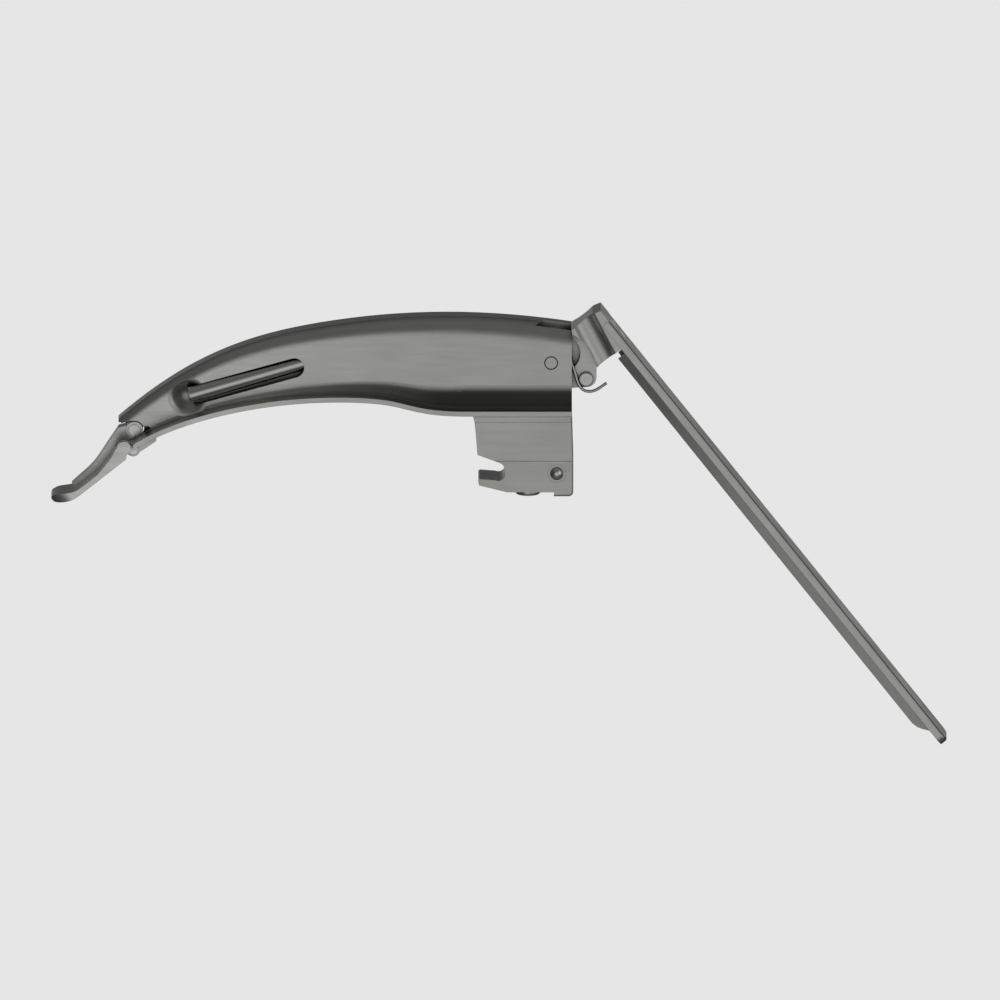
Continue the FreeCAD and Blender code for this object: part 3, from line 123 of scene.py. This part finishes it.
def make_card():
    """Glowing card seen only in the metal's reflections; it fades out to its edges."""
    half_width, half_height = (v / 2 * MM for v in CARD_SIZE)
    card = panel("card", [(-half_width, 0, -half_height), (half_width, 0, -half_height),
                          (half_width, 0, half_height), (-half_width, 0, half_height)])
    card.location = CARD_CENTRE * MM
    material, tree, out = empty_material("card_glow")
    coords = tree.nodes.new("ShaderNodeTexCoord")
    scale = tree.nodes.new("ShaderNodeVectorMath")
    scale.operation = "DIVIDE"
    scale.inputs[1].default_value = (half_width, 1, half_height)
    tree.links.new(coords.outputs["Object"], scale.inputs[0])
    length = tree.nodes.new("ShaderNodeVectorMath")
    length.operation = "LENGTH"
    tree.links.new(scale.outputs[0], length.inputs[0])
    fade = tree.nodes.new("ShaderNodeMapRange")
    fade.interpolation_type = "SMOOTHERSTEP"
    fade.inputs["From Min"].default_value = 0.0
    fade.inputs["From Max"].default_value = 1.0
    fade.inputs["To Min"].default_value = CARD_STRENGTH
    fade.inputs["To Max"].default_value = 0.0
    tree.links.new(length.outputs["Value"], fade.inputs["Value"])
    glow = tree.nodes.new("ShaderNodeEmission")
    tree.links.new(fade.outputs[0], glow.inputs["Strength"])
    clear = tree.nodes.new("ShaderNodeBsdfTransparent")
    both = tree.nodes.new("ShaderNodeAddShader")
    tree.links.new(glow.outputs[0], both.inputs[0])
    tree.links.new(clear.outputs[0], both.inputs[1])
    tree.links.new(both.outputs[0], out.inputs["Surface"])
    card.data.materials.append(material)
    card.visible_camera = False
    card.visible_shadow = False


def math_node(tree, operation, first, second):
    node = tree.nodes.new("ShaderNodeMath")
    node.operation = operation
    for socket, value in zip(node.inputs, (first, second)):
        if isinstance(value, (int, float)):
            socket.default_value = value
        else:
            tree.links.new(value, socket)
    return node.outputs[0]


# ---- materials ----------------------------------------------------------------------------

# Painted shade darkens crevices: how far they are felt, in millimetres, and the openness that counts as
# closed and open.
WIDE_CREVICE = 3.0
FINE_CREVICE = 1.0
CREVICE_LOW = 0.25
CREVICE_HIGH = 0.70

CREVICE_SAMPLES = 6

# Painted shade makes the long cove of the blade darkest: where along the blade, below which height, and on
# which slopes.
COVE_X = (-60.0, -15.0)
COVE_TOP_Z = (24.0, 27.0)
COVE_SLOPES = (0.02, 0.30, 0.85, 1.0)
COVE_LEVEL_SHARE = 0.35
COVE_DARKEST = 0.22

# Surface of the metal: size of each pattern, how far it is stretched in value, and what it does.
CLOUD_SCALE = 60.0
GRAIN_SCALE = 5200.0
STREAK_SCALE = 900.0
CLOUD_SPAN = (0.3, 0.7)
CLOUD_TONES = (0.955, 1.03)
SMUDGE_SPAN = (0.25, 0.75)
STREAK_SPAN = (0.3, 0.7)
STREAK_ROUGHNESS = 0.03
STREAK_BUMP_SHARE = 0.5
BUMP_HEIGHT = 0.004
BEVEL_SAMPLES = 4

# Packed optical fibres: size of the dots, tone between them, and the clear coat.
FIBRE_SCALE = 9000.0
FIBRE_GAP = (0.45, 0.45, 0.42)
FIBRE_COAT = 0.6

STEEL = (0.60, 0.60, 0.575)
BRIGHT_STEEL = (0.68, 0.68, 0.66)
PIN_STEEL = (0.64, 0.64, 0.62)
WIRE_STEEL = (0.66, 0.66, 0.64)
CHROME = (0.78, 0.78, 0.78)
BUSH_BRONZE = (0.62, 0.42, 0.22)
GLASS = (0.75, 0.76, 0.72)
ALONG_BLADE = (0.1, 1, 1)
ALONG_LEVER = (0.2, 1, 0.2)


def noise(tree, vector, scale, detail=3.0, stretch=(1, 1, 1)):
    mapping = tree.nodes.new("ShaderNodeMapping")
    mapping.inputs["Scale"].default_value = stretch
    tree.links.new(vector, mapping.inputs["Vector"])
    texture = tree.nodes.new("ShaderNodeTexNoise")
    texture.inputs["Scale"].default_value = scale
    texture.inputs["Detail"].default_value = detail
    tree.links.new(mapping.outputs[0], texture.inputs["Vector"])
    return texture.outputs["Fac"]


def remap(tree, value, low, high, out_low, out_high):
    node = tree.nodes.new("ShaderNodeMapRange")
    node.inputs["From Min"].default_value = low
    node.inputs["From Max"].default_value = high
    node.inputs["To Min"].default_value = out_low
    node.inputs["To Max"].default_value = out_high
    tree.links.new(value, node.inputs["Value"])
    return node.outputs[0]


def painted_crevice_shade(tree, distance, darkest):
    """Painted shade: factor from 1 in the open to the darkest value deep in a crevice, multiplied into the
    colour.
    """
    node = tree.nodes.new("ShaderNodeAmbientOcclusion")
    node.samples = CREVICE_SAMPLES
    node.inputs["Distance"].default_value = distance * MM
    return remap(tree, node.outputs["AO"], CREVICE_LOW, CREVICE_HIGH, darkest, 1.0)


def painted_cove_shade(tree, coords):
    """Factor of painted shade that darkens the hollow side of the long cove, fading out towards the tip."""
    place = tree.nodes.new("ShaderNodeSeparateXYZ")
    tree.links.new(coords, place.inputs[0])
    normal = tree.nodes.new("ShaderNodeNewGeometry").outputs["Normal"]
    slope = tree.nodes.new("ShaderNodeSeparateXYZ")
    tree.links.new(normal, slope.inputs[0])
    low, steep, level, top = COVE_SLOPES
    along = remap(tree, place.outputs["X"], COVE_X[0] * MM, COVE_X[1] * MM, 0, 1)
    below = remap(tree, place.outputs["Z"], COVE_TOP_Z[0] * MM, COVE_TOP_Z[1] * MM, 1, 0)
    rising = remap(tree, slope.outputs["Z"], low, steep, 0, 1)
    falling = remap(tree, slope.outputs["Z"], level, top, 1, COVE_LEVEL_SHARE)
    mask = math_node(tree, "MULTIPLY", math_node(tree, "MULTIPLY", along, below),
                     math_node(tree, "MULTIPLY", rising, falling))
    return remap(tree, mask, 0, 1, 1, COVE_DARKEST)


def metal(name, colour, roughness, grain=0.25, brush=(1, 1, 1), edge=0.15, smudge=0.06,
          hollow_shade=0.35, cove=False):
    """Metal with a fine blasted grain, faint brushing, soft smudges, rounded edges and painted shade in its
    crevices, plus painted shade in the blade's long cove when asked.
    """
    material, tree, out = empty_material(name)
    shader = tree.nodes.new("ShaderNodeBsdfPrincipled")
    coords = tree.nodes.new("ShaderNodeTexCoord").outputs["Object"]
    shader.inputs["Metallic"].default_value = 1.0

    cloud = noise(tree, coords, CLOUD_SCALE, 4.0)
    fine = noise(tree, coords, GRAIN_SCALE, 2.0)
    streak = noise(tree, coords, STREAK_SCALE, 3.0, brush)

    tone = remap(tree, cloud, *CLOUD_SPAN, *CLOUD_TONES)
    # Painted shade: the colour darkens where nearby surfaces close in, both wide and fine.
    tone = math_node(tree, "MULTIPLY", tone, painted_crevice_shade(tree, WIDE_CREVICE, hollow_shade))
    tone = math_node(tree, "MULTIPLY", tone, painted_crevice_shade(tree, FINE_CREVICE, hollow_shade))
    # Painted shade along the hollow side of the blade's long cove.
    if cove:
        tone = math_node(tree, "MULTIPLY", tone, painted_cove_shade(tree, coords))
    tint = tree.nodes.new("ShaderNodeMix")
    tint.data_type = "RGBA"
    tint.blend_type = "MULTIPLY"
    tint.inputs["Factor"].default_value = 1.0
    tint.inputs["A"].default_value = (*colour, 1)
    tree.links.new(tone, tint.inputs["B"])
    tree.links.new(tint.outputs["Result"], shader.inputs["Base Color"])

    rough_cloud = remap(tree, cloud, *SMUDGE_SPAN, roughness - smudge, roughness + smudge)
    rough_streak = remap(tree, streak, *STREAK_SPAN, -STREAK_ROUGHNESS, STREAK_ROUGHNESS)
    tree.links.new(math_node(tree, "ADD", rough_cloud, rough_streak), shader.inputs["Roughness"])

    bevel = tree.nodes.new("ShaderNodeBevel")
    bevel.samples = BEVEL_SAMPLES
    bevel.inputs["Radius"].default_value = edge * MM
    grain_bump = tree.nodes.new("ShaderNodeBump")
    grain_bump.inputs["Strength"].default_value = grain
    grain_bump.inputs["Distance"].default_value = BUMP_HEIGHT * MM
    tree.links.new(fine, grain_bump.inputs["Height"])
    tree.links.new(bevel.outputs[0], grain_bump.inputs["Normal"])
    streak_bump = tree.nodes.new("ShaderNodeBump")
    streak_bump.inputs["Strength"].default_value = grain * STREAK_BUMP_SHARE
    streak_bump.inputs["Distance"].default_value = BUMP_HEIGHT * MM
    tree.links.new(streak, streak_bump.inputs["Height"])
    tree.links.new(grain_bump.outputs[0], streak_bump.inputs["Normal"])
    tree.links.new(streak_bump.outputs[0], shader.inputs["Normal"])
    tree.links.new(shader.outputs[0], out.inputs["Surface"])
    return material


def glassy(name, colour, roughness):
    """Polished ends of packed optical fibres: glossy, with the dot pattern of the fibre ends."""
    material, tree, out = empty_material(name)
    shader = tree.nodes.new("ShaderNodeBsdfPrincipled")
    coords = tree.nodes.new("ShaderNodeTexCoord").outputs["Object"]
    cells = tree.nodes.new("ShaderNodeTexVoronoi")
    cells.inputs["Scale"].default_value = FIBRE_SCALE
    tree.links.new(coords, cells.inputs["Vector"])
    ramp = tree.nodes.new("ShaderNodeValToRGB")
    ramp.color_ramp.elements[0].color = (*colour, 1)
    ramp.color_ramp.elements[1].color = (*(c * share for c, share in zip(colour, FIBRE_GAP)), 1)
    tree.links.new(cells.outputs["Distance"], ramp.inputs["Fac"])
    tree.links.new(ramp.outputs[0], shader.inputs["Base Color"])
    shader.inputs["Roughness"].default_value = roughness
    shader.inputs["Coat Weight"].default_value = FIBRE_COAT
    tree.links.new(shader.outputs[0], out.inputs["Surface"])
    return material


# Every finish below paints shade into its crevices, darkest where the value given for the hollows is lowest.
SATIN = metal("satin_steel", STEEL, 0.33, grain=0.35, brush=ALONG_BLADE)
# The blade's finish gets painted shade both in its crevices and in its long cove.
SATIN_BODY = metal("satin_blade", STEEL, 0.33, grain=0.35, brush=ALONG_BLADE, hollow_shade=0.2, cove=True)
SATIN_YOKE = metal("satin_yoke", STEEL, 0.30, grain=0.35, brush=ALONG_BLADE, hollow_shade=0.12)
# The tip is the blade's satin finish painted in a lighter colour, as painted light for the brighter light on
# the tip, and its crevices get little painted shade.
SATIN_TIP_PAINTED_LIGHT = metal("satin_tip_painted_light", BRIGHT_STEEL, 0.33, grain=0.3, brush=ALONG_BLADE, hollow_shade=0.92)
PEENED = metal("peened_pin", PIN_STEEL, 0.26, grain=0.8, smudge=0.10)
SATIN_LEVER = metal("satin_lever", STEEL, 0.30, grain=0.3, brush=ALONG_LEVER)
POLISHED = metal("polished_steel", BRIGHT_STEEL, 0.12, grain=0.1, smudge=0.03)
BALL = metal("ball_chrome", CHROME, 0.05, grain=0.05, smudge=0.02)
WIRE = metal("spring_wire", WIRE_STEEL, 0.18, grain=0.1, smudge=0.04)
BRONZE = metal("bush_bronze", BUSH_BRONZE, 0.28, grain=0.2)
FIBRE = glassy("fibre_ends", GLASS, 0.12)

FINISH = {
    SATIN_BODY: ("blade_body",),
    SATIN_TIP_PAINTED_LIGHT: ("tip_blade",),
    SATIN_YOKE: ("lever_yoke",),
    PEENED: ("link_pin", "hinge_pin", "spring_post"),
    SATIN: ("side_cover", "heel_block", "rod_guides", "hinge_bracket", "rod_rear_eye", "rod_front_eye",
            "detent_retainers", "pivot_pin", "bracket_rivets", "heel_screws"),
    SATIN_LEVER: ("lever_arm",),
    POLISHED: ("light_tube", "inlet_ferrule", "pivot_spacer", "spring_anchor", "hinge_washer",
               "lever_rivets", "drive_pin", "push_rod", "cover_screws"),
    BALL: ("detent_ball_near", "detent_ball_far"),
    WIRE: ("detent_spring", "return_spring"),
    BRONZE: ("pivot_bush",),
    FIBRE: ("fibre_bundle", "distal_window", "inlet_window"),
}


def dress():
    for material, names in FINISH.items():
        for name in names:
            mesh = NODES[name].data
            mesh.materials.clear()
            mesh.materials.append(material)


make_camera()
make_floor()
make_world()
make_card()
dress()

view = bpy.context.scene.view_settings
view.view_transform = "Standard"
view.look = "None"
